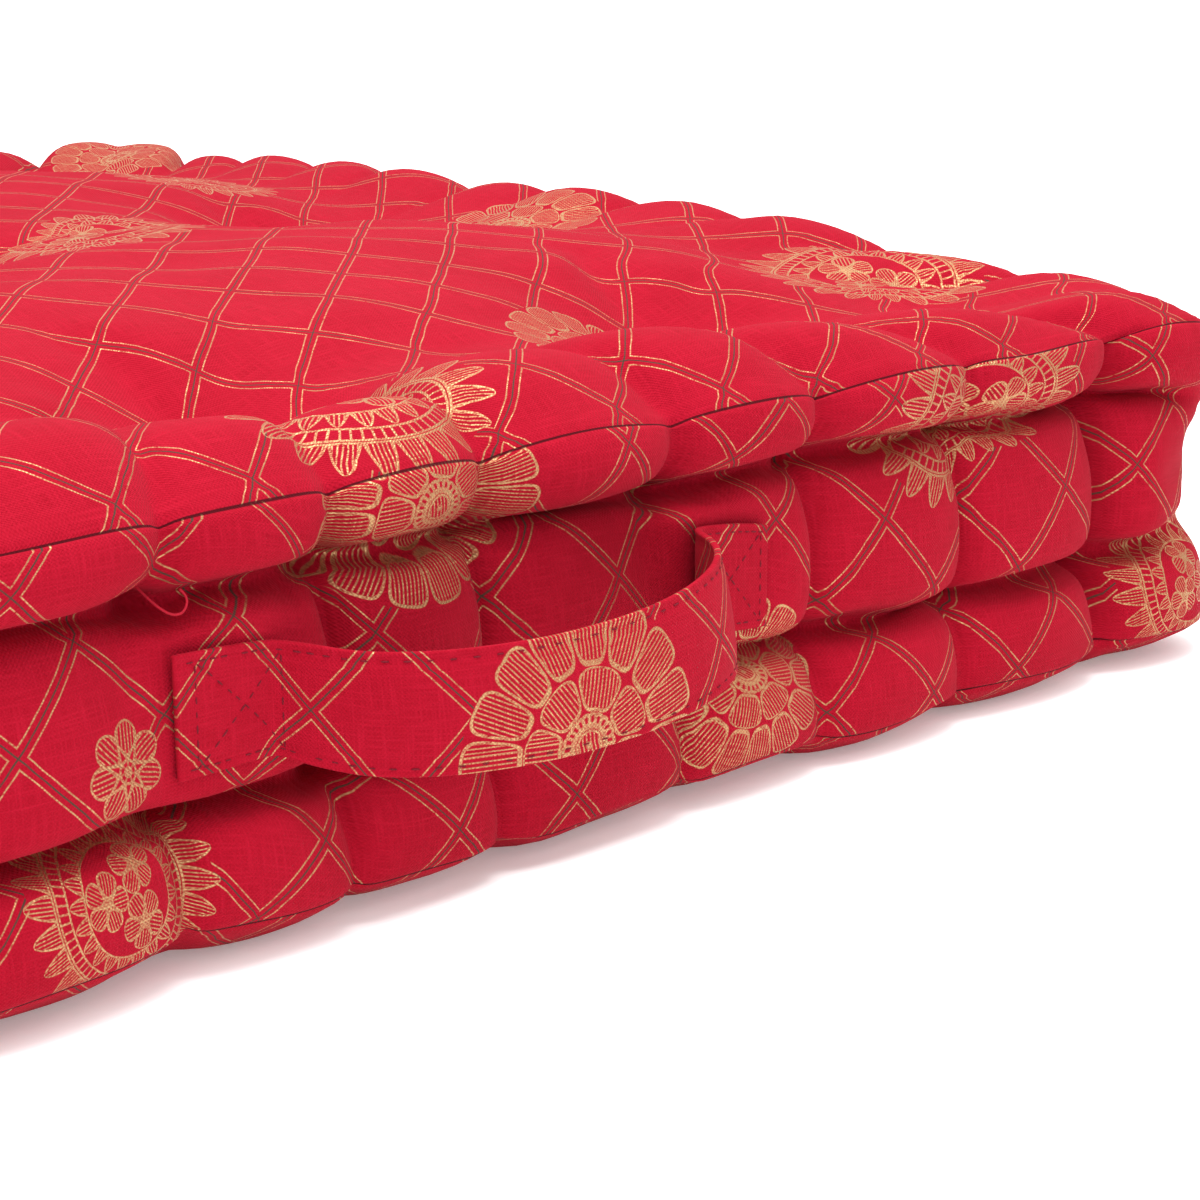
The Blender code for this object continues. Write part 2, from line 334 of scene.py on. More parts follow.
def boxing_profile(side, across, row):
    """How far out and how high the boxing stands at a column and a row."""
    _, drawn, corner = column_place(side, across)
    height, out, tuck_height, tuck_out, corner_height, corner_out = curve_between(BOXING, row)
    height += (tuck_height - height) * drawn
    out += (tuck_out - out) * drawn
    return out + (corner_out - out) * corner, height + (corner_height - height) * corner


def boxing_point(side, across, row):
    along = column_place(side, across)[0]
    out, height = boxing_profile(side, across, row)
    x, y, toward_x, toward_y = rim_point(along)
    if BAND_ROWS[0] < row < BAND_ROWS[1]:
        out += (HALF - PATCH_SET_BACK - y - out) * patch_hold(side, along)
    if row == 0:
        out -= SEAM_SINK
        height -= SEAM_SINK
    if row == LAST_ROW:
        out -= SEAM_SINK
        height += SEAM_SINK
    plan = turn_to_side(side, x + toward_x * out, y + toward_y * out)
    return Vector((*plan, height))


def thread_point(side, puff, row):
    """Where a thread goes through the boxing, at a place counted in puffs along a side."""
    point = boxing_point(side, 2 * puff / PUFFS - 1, row)
    point.y += CENTRE_Y
    return point


def tuft_dip(x, y, reach):
    """How far the tufts draw a face in at a point."""
    return sum(
        depth * math.exp(-math.hypot(x - tuft_x, y - tuft_y) / reach)
        for tuft_x, tuft_y, depth in TUFTS
    )


def face_point(x, y, distance, top):
    """A point inside the edge of the top face, or of the underside."""
    side, ring = which_side(x, y)
    across = place_across(side, x, y) / ring if ring else 0.0
    along, drawn, _ = column_place(side, across)
    rim_x, rim_y, toward_x, toward_y = rim_point(along)
    seam_out, seam_height = boxing_profile(side, across, 0 if top else LAST_ROW)
    inner = 1 - distance / HALF
    fade = smooth((inner - WARP_START) / (1 - WARP_START))
    near_seam = max(0.0, 1 - distance / RIM_SHIFT_REACH)
    shift_along = (rim_x - across * HALF) * fade + toward_x * seam_out * near_seam
    shift_out = (rim_y - HALF) * fade + toward_y * seam_out * near_seam
    moved = turn_to_side(side, shift_along, shift_out)
    scale = inner * HALF / ring if ring else 0.0
    plan_x, plan_y = x * scale + moved[0], y * scale + moved[1]
    table = TOP_FACE if top else UNDERSIDE
    puff_height, tuck_height = face_heights(table, distance)
    height = puff_height + (tuck_height - puff_height) * drawn
    height += (seam_height - table[0, 1] - (table[0, 2] - table[0, 1]) * drawn) * near_seam
    clear_of_rim = smooth(distance / RIM_SHIFT_REACH)
    if top:
        front = (HALF - plan_y) / (2 * HALF)
        to_corner = math.hypot(HALF - abs(plan_x), HALF - abs(plan_y))
        drop = CORNER_DROP * (1 - smooth((to_corner - CORNER_DROP_START) / CORNER_DROP_REACH))
        drop *= BACK_CORNER_SHARE + (1 - BACK_CORNER_SHARE) * front
        fuller = BACK_FULLNESS * (1 - front)
        height += (fuller - drop - tuft_dip(plan_x, plan_y, TUFT_REACH)) * clear_of_rim
    else:
        height += max(0.0, tuft_dip(plan_x, plan_y, TUFT_REACH_BELOW) - FLOOR_PRESS) * clear_of_rim
    return Vector((plan_x, plan_y, max(0.0, height)))


# The rows down the boxing and the rings in from each seam, closer together beside the seams
ROWS_BETWEEN = round((LAST_ROW - 2 * SEAM_ROWS[-1]) / ROW_STEP) + 1
ROWS = [
    *SEAM_ROWS[:-1],
    *np.linspace(SEAM_ROWS[-1], LAST_ROW - SEAM_ROWS[-1], ROWS_BETWEEN),
    LAST_ROW - SEAM_ROWS[1],
    LAST_ROW,
]
RINGS = [*SEAM_RINGS[:-1], *np.linspace(SEAM_RINGS[-1], HALF, CELLS // 2 - len(SEAM_RINGS) + 2)]


def travelled(points):
    """The length of cloth from the first point of a profile to each of its points."""
    steps = np.linalg.norm(np.diff(np.array(points), axis=0), axis=1)
    return np.concatenate(([0.0], np.cumsum(steps)))


# The stitches gather up the cloth in the grooves, so its length there is less than its path
GATHERED_OUT = -0.0080
puff_profile = [curve_between(BOXING, row) for row in ROWS]
ROW_CLOTH = travelled([(height, max(out, GATHERED_OUT)) for height, out, *_ in puff_profile])
RING_CLOTH = travelled([(distance, face_heights(TOP_FACE, distance)[0]) for distance in RINGS])
PANEL_HALF = RING_CLOTH[-1]
SIDE_START = {"left": -2 * HALF, "front": 0.0, "right": 2 * HALF, "back": 4 * HALF}

# How firmly thread or the floor holds the cloth, from 0, free, to 1
SEAM_HOLD = 0.12
STITCH_ROW_HOLD = 0.10
TUCK_HOLD = 0.5
ROLL_TUCK_REACH = 0.040
ROLL_TUCK_DRAWN = 0.7
TUFT_HOLD_RADIUS = 0.008
FLOOR_HOLD_FROM = 0.012


def nearest_row(place):
    return min(range(len(ROWS)), key=lambda index: abs(ROWS[index] - place))


def boxing_hold(side, across, index):
    """How firmly a point of the boxing is held."""
    row = ROWS[index]
    at_tuck = round((across + 1) / 2 * CELLS) % CELLS_PER_PUFF == 0
    upper, lower = nearest_row(UPPER_STITCHES), nearest_row(LOWER_STITCHES)
    if index in (0, len(ROWS) - 1):
        return SEAM_HOLD
    if index in (upper, lower):
        return 1.0 if at_tuck else STITCH_ROW_HOLD
    if BAND_ROWS[0] < row < BAND_ROWS[1] and patch_hold(side, column_place(side, across)[0]) > 0.5:
        return 1.0
    return TUCK_HOLD if at_tuck and index < lower else 0.0


def top_hold(point, side, across, distance):
    """How firmly a point of the top face is held, by a tuft or by a tuck of the roll."""
    near = min(math.hypot(point.x - x, point.y - y) for x, y, _ in TUFTS)
    if near < TUFT_HOLD_RADIUS:
        return 1.0
    at_tuck = distance < ROLL_TUCK_REACH and column_place(side, across)[1] > ROLL_TUCK_DRAWN
    return TUCK_HOLD if at_tuck else 0.0


def cushion_grid():
    """The cover as a closed grid: a divided block, each point moved to its sewn and filled place.

    Also gives each point's hold, its distance from a seam and its place in the block."""
    block = bmesh.new()
    bmesh.ops.create_cube(block, size=2.0)
    for axis, cells in ((0, CELLS), (1, CELLS), (2, len(ROWS) - 1)):
        edges = [
            edge for edge in block.edges
            if abs((edge.verts[1].co - edge.verts[0].co)[axis]) > 1e-6
        ]
        bmesh.ops.subdivide_edges(block, edges=edges, cuts=cells - 1, use_grid_fill=True)
    holds, seam_distances, places = [], [], []
    for vertex in block.verts:
        x, y, z = (round(value, 5) for value in vertex.co)
        side, ring = which_side(x, y)
        if ring > 0.9999:
            index = round((1 - z) / 2 * (len(ROWS) - 1))
            across = place_across(side, x, y)
            vertex.co = boxing_point(side, across, ROWS[index])
            holds.append(boxing_hold(side, across, index))
            seam_distances.append(min(ROW_CLOTH[index], ROW_CLOTH[-1] - ROW_CLOTH[index]))
        else:
            distance = RINGS[round((1 - ring) * CELLS / 2)]
            vertex.co = face_point(x, y, distance, z > 0)
            if z > 0:
                across = place_across(side, x, y) / ring if ring else 0.0
                holds.append(top_hold(vertex.co, side, across, distance))
            else:
                holds.append(1.0 if distance > FLOOR_HOLD_FROM else 0.0)
            seam_distances.append(distance)
        places.append((x, y, z))
        vertex.co.y += CENTRE_Y
    mesh = bpy.data.meshes.new("cushion cover")
    block.to_mesh(mesh)
    block.free()
    mesh.shade_smooth()
    return mesh, holds, seam_distances, places


cushion_mesh, cushion_holds, seam_distances, block_places = cushion_grid()

# Creases fan out from each stitch and tuft, and the loose filling leaves the cloth a little lumpy.
# Each kind of crease has its depth, how far it reaches and how many of them fan out.
STITCH_CREASES = (0.0028, 0.042, 6)
TUFT_CREASES = (0.0032, 0.075, 8)
CREASE_START = 0.004
CREASE_PHASES = (0.0, 6.28)
CREASE_SEED = 11
LUMP_HEIGHT = 0.0027
LUMP_PITCH = 0.042
FLAT_BELOW = 0.002
UNDERSIDE_BELOW = 0.05
GATHER_REACH = 0.034


def crease_around(points, normals, centre, sideways, creases, phase):
    """Presses shallow folds into the cloth, fanning out from a stitch."""
    depth, reach, folds = creases
    away = points - centre
    distance = np.linalg.norm(away, axis=1)
    near = distance < reach
    level = away[near] @ sideways
    upright = np.sqrt(np.maximum(distance[near] ** 2 - level ** 2, 0.0))
    angle = np.arctan2(upright * np.sign(away[near, 2] + 1e-9), level)
    fan = np.maximum(0.0, np.cos(folds * angle + phase + 2.0 * np.sin(angle + phase))) ** 2
    fade = (1 - distance[near] / reach) ** 1.5 * np.minimum(1.0, distance[near] / CREASE_START)
    points[near] -= normals[near] * (depth * fan * fade)[:, None]


def crease_and_lump(mesh):
    """Creases and lumps the cover, and gives how near each point is to a stitch that gathers it."""
    chance = random.Random(CREASE_SEED)
    points = np.array([vertex.co for vertex in mesh.vertices])
    normals = np.array([normal.vector for normal in mesh.vertex_normals])
    gathers = np.zeros(len(points))
    for index, (point, normal) in enumerate(zip(points, normals)):
        if point[2] > FLAT_BELOW:
            points[index] += normal * LUMP_HEIGHT * noise.noise(Vector(point) / LUMP_PITCH)
    for side in TUCKS:
        sideways = np.array((*turn_to_side(side, 1.0, 0.0), 0.0))
        for tuck in range(1, PUFFS):
            for row in (UPPER_STITCHES, LOWER_STITCHES):
                centre = np.array(thread_point(side, tuck, row))
                phase = chance.uniform(*CREASE_PHASES)
                crease_around(points, normals, centre, sideways, STITCH_CREASES, phase)
                distance = np.linalg.norm(points - centre, axis=1)
                gathers = np.maximum(gathers, 1 - distance / GATHER_REACH)
    sideways = np.array((1.0, 0.0, 0.0))
    for x, y, _ in TUFTS:
        distance = np.hypot(points[:, 0] - x, points[:, 1] - y - CENTRE_Y)
        distance[points[:, 2] < UNDERSIDE_BELOW] = np.inf
        centre = points[np.argmin(distance)].copy()
        crease_around(points, normals, centre, sideways, TUFT_CREASES, chance.uniform(*CREASE_PHASES))
    points[:, 2] = np.maximum(points[:, 2], 0.0)
    mesh.vertices.foreach_set("co", points.astype(np.float32).ravel())
    mesh.update()
    return gathers


cushion_gathers = crease_and_lump(cushion_mesh)
cushion = bpy.data.objects.new("cushion_cover", cushion_mesh)
bpy.context.scene.collection.objects.link(cushion)

# The filling presses the cover out between the stitches, so that it swells and creases
COVER_CLOTH = {
    "quality": 6,
    "mass": 0.1,
    "tension_stiffness": 20,
    "compression_stiffness": 20,
    "shear_stiffness": 8,
    "bending_stiffness": 0.15,
    "air_damping": 4,
    "use_pressure": True,
    "uniform_pressure_force": 2.5,
    "shrink_min": -0.03,
    "pin_stiffness": 1.0,
}
SETTLE_FRAMES = 14
MOST_MOVE = 0.0045


def settle(piece, weights):
    """Swells the cover with the cloth simulation and leaves its result in the mesh."""
    start = np.array([vertex.co for vertex in piece.data.vertices])
    held = piece.vertex_groups.new(name="held by thread")
    for index, weight in enumerate(weights):
        held.add([index], weight, "REPLACE")
    swell = piece.modifiers.new("filling", "CLOTH")
    for name, value in COVER_CLOTH.items():
        setattr(swell.settings, name, value)
    swell.settings.vertex_group_mass = held.name
    swell.settings.effector_weights.gravity = 0.0
    swell.point_cache.frame_end = SETTLE_FRAMES
    for step in range(1, SETTLE_FRAMES + 1):
        bpy.context.scene.frame_set(step)
    graph = bpy.context.evaluated_depsgraph_get()
    settled = np.array([vertex.co for vertex in piece.evaluated_get(graph).data.vertices])
    bpy.context.scene.frame_set(1)
    piece.modifiers.remove(swell)
    piece.vertex_groups.clear()
    move = settled - start
    length = np.linalg.norm(move, axis=1, keepdims=True)
    move *= np.minimum(1.0, MOST_MOVE / np.maximum(length, 1e-9))
    settled = start + move
    settled[:, 2] = np.maximum(settled[:, 2], 0.0)
    piece.data.vertices.foreach_set("co", settled.astype(np.float32).ravel())
    piece.data.update()


settle(cushion, cushion_holds)

# The printed cloth. A panel's faces know their place on the flat cloth, in metres from the middle of
# the top or underside, or along and down from the middle of the front's upper seam.
MOTIF_KINDS = ("none", "rosette", "wreath", "crescent", "bud")
MOTIF_REACHES = {"rosette": 0.043, "wreath": 0.047, "crescent": 0.060, "bud": 0.018}
CUSHION_MOTIFS = [
    # panel, place on the flat cloth, kind, turn in degrees, size across and along
    ("boxing", (-0.1134, -0.0655), "bud", 60.0, (1.0, 1.0)),
    ("boxing", (-0.0186, -0.0120), "rosette", 12.0, (1.0, 1.0)),
    ("boxing", (0.0945, -0.0975), "rosette", 30.0, (0.9, 0.9)),
    ("boxing", (0.1925, -0.0190), "crescent", 200.0, (0.85, 0.85)),
    ("boxing", (-0.1163, -0.1080), "wreath", 0.0, (0.68, 0.80)),
    ("boxing", (0.3029, -0.1084), "wreath", 40.0, (0.85, 0.85)),
    ("top", (-0.0210, -0.2860), "crescent", -8.0, (0.84, 1.00)),
    ("top", (0.2620, -0.2150), "crescent", 150.0, (0.9, 0.9)),
    ("top", (0.2037, 0.1066), "wreath", 0.0, (0.9, 0.9)),
    ("top", (0.0722, -0.0211), "crescent", 30.0, (0.9, 0.9)),
    ("top", (0.2474, -0.0492), "rosette", 0.0, (1.0, 1.0)),
    ("top", (-0.1420, -0.3590), "rosette", 0.0, (0.8, 0.8)),
    ("top", (0.0850, -0.3590), "rosette", 10.0, (0.8, 0.8)),
]
# The repeat of the print fills each panel between two corners, wherever no motif stands already
REPEATED_CLOTH = (
    ("top", (-0.33, -0.30), (0.33, 0.34)),
    ("underside", (-0.33, -0.33), (0.33, 0.34)),
    ("boxing", (0.42, -0.13), (1.60, 0.0)),
    ("boxing", (-0.96, -0.13), (-0.26, 0.0)),
)
REPEAT_KINDS = ("rosette", "crescent", "wreath")
REPEAT_WIDE = 0.150
REPEAT_HIGH = 0.125
REPEAT_TURN = 40.0
REPEAT_SIZE = (0.9, 0.9)
LEAST_APART = 0.105


def fill_with_motifs(motifs, panel, low, high):
    """Adds the print's repeat of motifs to a stretch of a panel, in staggered rows."""
    placed = [Vector(place) for where, place, *_ in motifs if where == panel]
    for row in range(math.ceil((high[1] - low[1]) / REPEAT_HIGH)):
        for column in range(math.ceil((high[0] - low[0]) / REPEAT_WIDE) + 1):
            x = low[0] + (column - 0.5 * (row % 2)) * REPEAT_WIDE
            spot = Vector((x, low[1] + (row + 0.5) * REPEAT_HIGH))
            if all((spot - other).length > LEAST_APART for other in placed):
                kind = REPEAT_KINDS[(column + 2 * row) % len(REPEAT_KINDS)]
                turn = REPEAT_TURN * (row + 2 * column)
                motifs.append((panel, tuple(spot), kind, turn, REPEAT_SIZE))


for panel, low, high in REPEATED_CLOTH:
    fill_with_motifs(CUSHION_MOTIFS, panel, low, high)

# Where the lattice starts on each panel's flat cloth, and how much the sewing has stretched it across
LATTICE_FITS = {
    "boxing": (0.0456, -0.0498, 0.988),
    "top": (0.0093, -0.3228, 1.010),
    "underside": (0.0, 0.0, 1.0),
    "strap": (0.0474, -0.0204, 1.0),
}
# The boxing's print runs a little up and down along the front
PRINT_RUN = (
    # place along, shift up
    (-0.085, 0.0165),
    (-0.037, 0.0),
    (0.055, 0.0),
    (0.125, -0.0232),
    (0.210, -0.0265),
)


def lay_cloth(mesh, flat_places, panels, motifs):
    """Gives each face corner its place in the printed lattice, and around the middle of its motif."""
    cloth = mesh.uv_layers.new(name="cloth")
    motif = mesh.uv_layers.new(name="motif")
    run_along, run_up = zip(*PRINT_RUN)
    for polygon, panel in zip(mesh.polygons, panels):
        corners = list(polygon.loop_indices)
        middle = sum((Vector(flat_places[corner]) for corner in corners), Vector((0.0, 0.0)))
        middle /= len(corners)
        start_x, start_y, stretch = LATTICE_FITS[panel]
        for corner in corners:
            x, y = flat_places[corner]
            shift = np.interp(x, run_along, run_up) if panel == "boxing" else 0.0
            cloth.data[corner].uv = ((x - start_x) * stretch, y - start_y - shift)
        for motif_panel, centre, kind, turn, size in motifs:
            reach = MOTIF_REACHES[kind] * max(size)
            if panel == motif_panel and (middle - Vector(centre)).length < reach:
                polygon.material_index = MOTIF_KINDS.index(kind)
                cosine = math.cos(math.radians(turn))
                sine = math.sin(math.radians(turn))
                for corner in corners:
                    x = flat_places[corner][0] - centre[0]
                    y = flat_places[corner][1] - centre[1]
                    across, along = x * cosine + y * sine, y * cosine - x * sine
                    motif.data[corner].uv = (across / size[0], along / size[1])
                break


def cushion_cloth_places(mesh, places):
    """The panel of each face, and the place of each face corner on that panel's flat cloth."""
    flat, panels = [], []
    for polygon in mesh.polygons:
        corners = [places[index] for index in polygon.vertices]
        level = {corner[2] for corner in corners}
        if level == {1.0} or level == {-1.0}:
            panels.append("top" if level == {1.0} else "underside")
            for x, y, _ in corners:
                side, ring = which_side(x, y)
                index = round((1 - ring) * CELLS / 2)
                across = place_across(side, x, y) / ring if ring else 0.0
                fade = smooth((1 - RINGS[index] / HALF - WARP_START) / (1 - WARP_START))
                along = across + (column_place(side, across)[0] / HALF - across) * fade
                from_middle = PANEL_HALF - RING_CLOTH[index]
                flat.append(turn_to_side(side, along * from_middle, from_middle))
        else:
            panels.append("boxing")
            side, _ = which_side(sum(c[0] for c in corners), sum(c[1] for c in corners))
            for x, y, z in corners:
                index = round((1 - z) / 2 * (len(ROWS) - 1))
                along = column_place(side, place_across(side, x, y))[0]
                flat.append((SIDE_START[side] + along, -ROW_CLOTH[index]))
    return flat, panels


cushion_flat, cushion_panels = cushion_cloth_places(cushion.data, block_places)
lay_cloth(cushion.data, cushion_flat, cushion_panels, CUSHION_MOTIFS)
seam_mark = cushion.data.attributes.new("from_seam", "FLOAT", "POINT")
seam_mark.data.foreach_set("value", seam_distances)
gather_mark = cushion.data.attributes.new("gathers", "FLOAT", "POINT")
gather_mark.data.foreach_set("value", cushion_gathers)

finer = cushion.modifiers.new("finer", "SUBSURF")
finer.levels = 1
finer.render_levels = 1
finer.uv_smooth = "NONE"


class Field:
    """A number that varies over the cloth, worked out by a material's nodes as sums are written."""

    def __init__(self, socket):
        self.socket = socket

    def math(self, operation, *values, clamp=False):
        tree = self.socket.id_data
        node = tree.nodes.new("ShaderNodeMath")
        node.operation = operation
        node.use_clamp = clamp
        for slot, value in zip(node.inputs, (self, *values)):
            if isinstance(value, Field):
                tree.links.new(value.socket, slot)
            else:
                slot.default_value = value
        return Field(node.outputs[0])

    def __add__(self, other):
        return self.math("ADD", other)

    def __radd__(self, other):
        return self.math("ADD", other)

    def __sub__(self, other):
        return self.math("SUBTRACT", other)

    def __rsub__(self, other):
        return self.math("MULTIPLY_ADD", -1.0, other)

    def __mul__(self, other):
        return self.math("MULTIPLY", other)

    def __truediv__(self, other):
        return self.math("DIVIDE", other)

    def __pow__(self, other):
        return self.math("POWER", other)

    def __abs__(self):
        return self.math("ABSOLUTE")

    def lower(self, other):
        return self.math("MINIMUM", other)

    def higher(self, other):
        return self.math("MAXIMUM", other)

    def fraction(self):
        return self.math("FRACT")

    def clamped(self):
        return self.math("MULTIPLY", 1.0, clamp=True)


# The printed lines, in metres on the flat cloth. The widths of lines are half widths.
LINE_SOFTNESS = 0.00018
HATCH_PITCH = 0.00118
HATCH_LINE = 0.00019
HATCH_CLEARANCE = 0.0004
OUTLINE = 0.00033


def drawn_line(distance, half_width):
    """1 on a printed line and 0 off it, from the distance to its middle."""
    return (0.5 + (half_width - abs(distance)) / LINE_SOFTNESS).clamped()


def inside(distance):
    """1 where a distance is below 0, and 0 where it is above."""
    return (0.5 - distance / LINE_SOFTNESS).clamped()


def around(angle, count, turn=0.0):
    """The place across one of a ring's equal parts, from -0.5 to 0.5."""
    return (angle * (count / math.tau) + turn).fraction() - 0.5


def hatched(edge, across):
    """The outline of a shape and the hatching that fills it, from its edge's distance."""
    stripe = ((across / HATCH_PITCH).fraction() - 0.5) * HATCH_PITCH
    hatching = drawn_line(stripe, HATCH_LINE) * inside(edge + HATCH_CLEARANCE)
    return drawn_line(edge, OUTLINE).higher(hatching)


def petal_ring(radius, angle, count, low, high, turn, width, corners):
    """A ring of rounded petals, hatched along them."""
    middle, half = (low + high) / 2, (high - low) / 2
    half_width = radius * (width * math.pi / count)
    across = around(angle, count, turn) * (math.tau / count) * radius
    out = abs((radius - middle) / half) ** corners
    size = (abs(across / half_width) ** corners + out) ** (1 / corners)
    return hatched((size - 1) * half_width, across)


LEAF_TAPER = 0.62
LEAF_WIDTH = 0.94


def leaf_ring(radius, angle, count, low, high, turn):
    """A ring of pointed leaves that touch at their feet, hatched along them."""
    across = around(angle, count, turn) * (math.tau / count) * radius
    share = (high - radius) / (high - low)
    width = (share.higher(0.0) ** LEAF_TAPER) * (radius * (LEAF_WIDTH * math.pi / count))
    edge = (abs(across) - width).higher(low - radius)
    return hatched(edge, across) * inside(radius - high)


def polar(x, y):
    """How far a place is from the motif's middle, and in which direction."""
    return (x * x + y * y) ** 0.5, y.math("ARCTAN2", x)


def hand_cut(radius, angle, lobes, phase, depth):
    """A radius that swells and shrinks a little round the motif, as a hand-cut block's does."""
    return radius * (1 + (angle * lobes + phase).math("SINE") * depth)


ROSETTE_HEART = 0.0036
ROSETTE_EDGE = 0.0356
ROSETTE_PETALS = (
    # how many, from and to, turn in parts, width, squareness of the corners
    (22, 0.0050, 0.0078, 0.00, 0.90, 3.2),
    (7, 0.0088, 0.0188, 0.20, 0.90, 3.6),
    (15, 0.0200, 0.0350, 0.35, 0.88, 3.8),
)


def rosette(x, y):
    """A round flower, with three rings of petals round a hatched heart."""
    radius, angle = polar(x, y)
    radius = hand_cut(radius, angle, 3.0, 1.0, 0.035)
    marks = hatched(radius - ROSETTE_HEART, x)
    for ring in ROSETTE_PETALS:
        marks = marks.higher(petal_ring(radius, angle, *ring))
    return marks, inside(radius - ROSETTE_EDGE)


LADDER = (0.0252, 0.0292)
RUNGS = 64
RUNG_LINE = 0.00030
GARLAND_LEAVES = (
    # how many, from and to, turn in parts
    (24, 0.0302, 0.0405, 0.0),
    (21, 0.0188, 0.0246, 0.3),
)
GARLAND_FLOWERS = 3
FLOWER_OUT = 0.0098
FLOWER_PETALS = (5, 0.0014, 0.0088, 0.0, 0.92, 2.3)
GARLAND_EDGE = 0.0385


def garland(radius, angle):
    """The ladder ring, the leaves outside and inside it, and three flowers in its middle."""
    near, far = LADDER
    marks = drawn_line(radius - near, OUTLINE).higher(drawn_line(radius - far, OUTLINE))
    rung = drawn_line(around(angle, RUNGS) * radius * (math.tau / RUNGS), RUNG_LINE)
    marks = marks.higher(rung * inside(near - radius) * inside(radius - far))
    for ring in GARLAND_LEAVES:
        marks = marks.higher(leaf_ring(radius, angle, *ring))
    turn = around(angle, GARLAND_FLOWERS) * (math.tau / GARLAND_FLOWERS)
    out = turn.math("COSINE") * radius - FLOWER_OUT
    from_flower, petal_angle = polar(out, turn.math("SINE") * radius)
    marks = marks.higher(petal_ring(from_flower, petal_angle, *FLOWER_PETALS))
    return marks, inside(radius - GARLAND_EDGE)


def wreath(x, y):
    """The garland as a round wreath."""
    radius, angle = polar(x, y)
    return garland(hand_cut(radius, angle, 2.0, 0.6, 0.05), angle)


CRESCENT_STRETCH = (1.28, 1.12)
NOTCH_WIDTH = 0.62
NOTCH_DEPTH = 0.42


def crescent(x, y):
    """The garland bent to a bean's shape, with a notch in its upper side."""
    radius, angle = polar(x / CRESCENT_STRETCH[0], y / CRESCENT_STRETCH[1])
    lean = (angle - math.pi / 2) / NOTCH_WIDTH
    notch = 1 - (lean * lean * -1.0).math("EXPONENT") * NOTCH_DEPTH
    return garland(radius / notch, angle)


BUD_EYE = (0.0010, 0.0026)
BUD_LEAVES = (7, 0.0034, 0.0116, 0.1, 1.0, 1.7)
BUD_EDGE = 0.0108


def bud(x, y):
    """A small bud: an eye of two rings in a fan of leaves."""
    radius, angle = polar(x, y)
    near, far = BUD_EYE
    eye = drawn_line(radius - near, OUTLINE).higher(drawn_line(radius - far, OUTLINE))
    return eye.higher(petal_ring(radius, angle, *BUD_LEAVES)), inside(radius - BUD_EDGE)


# The lattice's diamonds, their gold outlines and the brown line between two outlines
LATTICE_WIDE = 0.041
LATTICE_HIGH = 0.045
LATTICE_PITCH = 1 / math.hypot(1 / LATTICE_WIDE, 1 / LATTICE_HIGH)
OUTLINE_FROM_LINE = 0.00155
BROWN_LINE = 0.00021
LATTICE_GOLD = 0.00017
SEAM_LINE = 0.00028

# How far and how finely the print wanders, the weave's threads and the small folds beside stitches
PRINT_WOBBLE = 0.0008
PRINT_WOBBLE_SCALE = 45.0
THREAD_PITCH = 0.00055
SLUB_SCALE = (90.0, 1800.0, 1.0)
SLUB_SCALE_ACROSS = (1800.0, 90.0, 1.0)
MOTTLE_SCALE = 22.0
WEAVE_RELIEF = 0.00012
WEAVE_BUMP = 0.6
GATHER_FOLDS = 34.0
GATHER_SCALE = (260.0, 42.0, 1.0)

# The cotton's colours, and how metallic and how smooth the gold print makes it
RED = (0.285, 0.0016, 0.0115, 1.0)
# The paler red is the cloth's own tone on slubs and in a mottle, and is also painted light on the
# weave's crowns
RED_PALE_AND_LIT = (0.375, 0.0048, 0.0205, 1.0)
BROWN = (0.060, 0.038, 0.028, 1.0)
GOLD = (0.470, 0.285, 0.135, 1.0)
SEAM_SHADE = (0.030, 0.0010, 0.0030, 1.0)
SEAM_COVER = 0.9
GOLD_METALLIC = 0.96
COTTON_ROUGHNESS = 0.88
GOLD_SMOOTHER = 0.50


def noise_node(tree, vector, scale, detail=0.0):
    node = tree.nodes.new("ShaderNodeTexNoise")
    node.inputs["Scale"].default_value = scale
    node.inputs["Detail"].default_value = detail
    tree.links.new(vector, node.inputs["Vector"])
    return node


def noise_field(tree, vector, scale=1.0, detail=0.0):
    return Field(noise_node(tree, vector, scale, detail).outputs["Fac"])


def mesh_field(tree, name):
    """A number that the piece's own mesh holds for each of its points."""
    node = tree.nodes.new("ShaderNodeAttribute")
    node.attribute_name = name
    return Field(node.outputs["Fac"])


def raise_surface(tree, height, strength, relief):
    """Gives the material's shader a relief from a height in its nodes."""
    bump = tree.nodes.new("ShaderNodeBump")
    bump.inputs["Strength"].default_value = strength
    bump.inputs["Distance"].default_value = relief
    tree.links.new(height.socket, bump.inputs["Height"])
    tree.links.new(bump.outputs["Normal"], tree.nodes["Principled BSDF"].inputs["Normal"])


def stretched(tree, vector, scale):
    node = tree.nodes.new("ShaderNodeMapping")
    node.inputs["Scale"].default_value = scale
    tree.links.new(vector, node.inputs["Vector"])
    return node.outputs["Vector"]


def mixed(tree, first, second, share):
    """A colour between two, each a node's output or a plain colour."""
    node = tree.nodes.new("ShaderNodeMix")
    node.data_type = "RGBA"
    for name, colour in (("A", first), ("B", second)):
        slot = next(s for s in node.inputs if s.name == name and s.type == "RGBA")
        if isinstance(colour, tuple):
            slot.default_value = colour
        else:
            tree.links.new(colour, slot)
    tree.links.new(share.socket, node.inputs["Factor"])
    return next(s for s in node.outputs if s.type == "RGBA")


def uv_map(tree, name):
    node = tree.nodes.new("ShaderNodeUVMap")
    node.uv_map = name
    return node.outputs["UV"]


def parts(tree, vector):
    node = tree.nodes.new("ShaderNodeSeparateXYZ")
    tree.links.new(vector, node.inputs["Vector"])
    return Field(node.outputs["X"]), Field(node.outputs["Y"])


